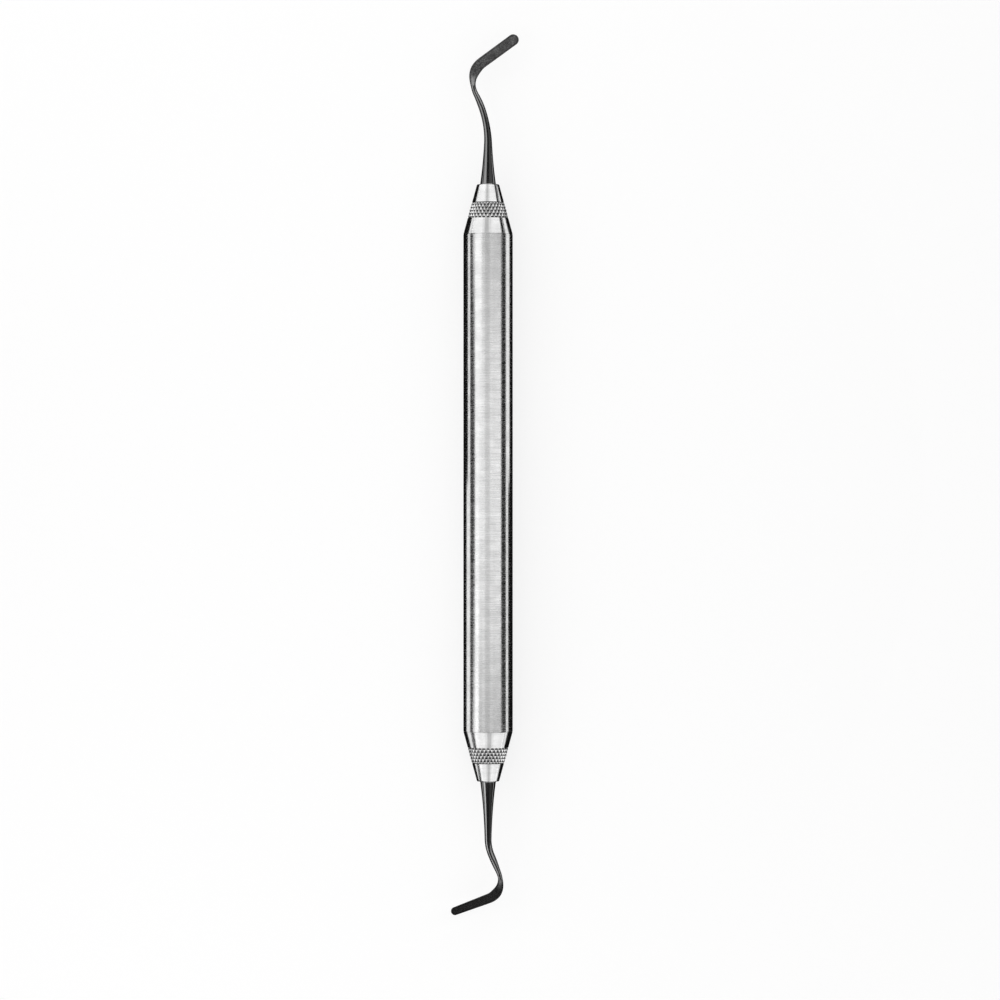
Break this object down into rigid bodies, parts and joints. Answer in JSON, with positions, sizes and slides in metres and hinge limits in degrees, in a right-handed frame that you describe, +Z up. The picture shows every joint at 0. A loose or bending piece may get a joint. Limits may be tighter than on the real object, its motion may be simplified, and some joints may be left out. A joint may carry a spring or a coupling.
{
  "type": "double-ended composite placement instrument",
  "caption": "Double-ended dental filling instrument: a hollow steel handle with knurled nose cones, and a black coated, bent flat blade at each end.",
  "frame": {"origin": "on the table that the handle lies on, straight below the middle of the handle", "axes": "+Y along the handle towards the longer (upper) working end, +X to the side that the upper blade points to, +Z up from the table, square to both blades"},
  "size_m": [0.013, 0.1697, 0.0095],
  "materials": {
    "satin_steel": "fine-turned satin",
    "black_coating": "hard black coating on steel, semi-matt"
  },
  "bodies": {
    "root": {"handle_tube": "satin_steel", "upper_nose_cone": "satin_steel", "lower_nose_cone": "satin_steel", "upper_working_end": "black_coating", "lower_working_end": "black_coating"}
  },
  "joints": []
}
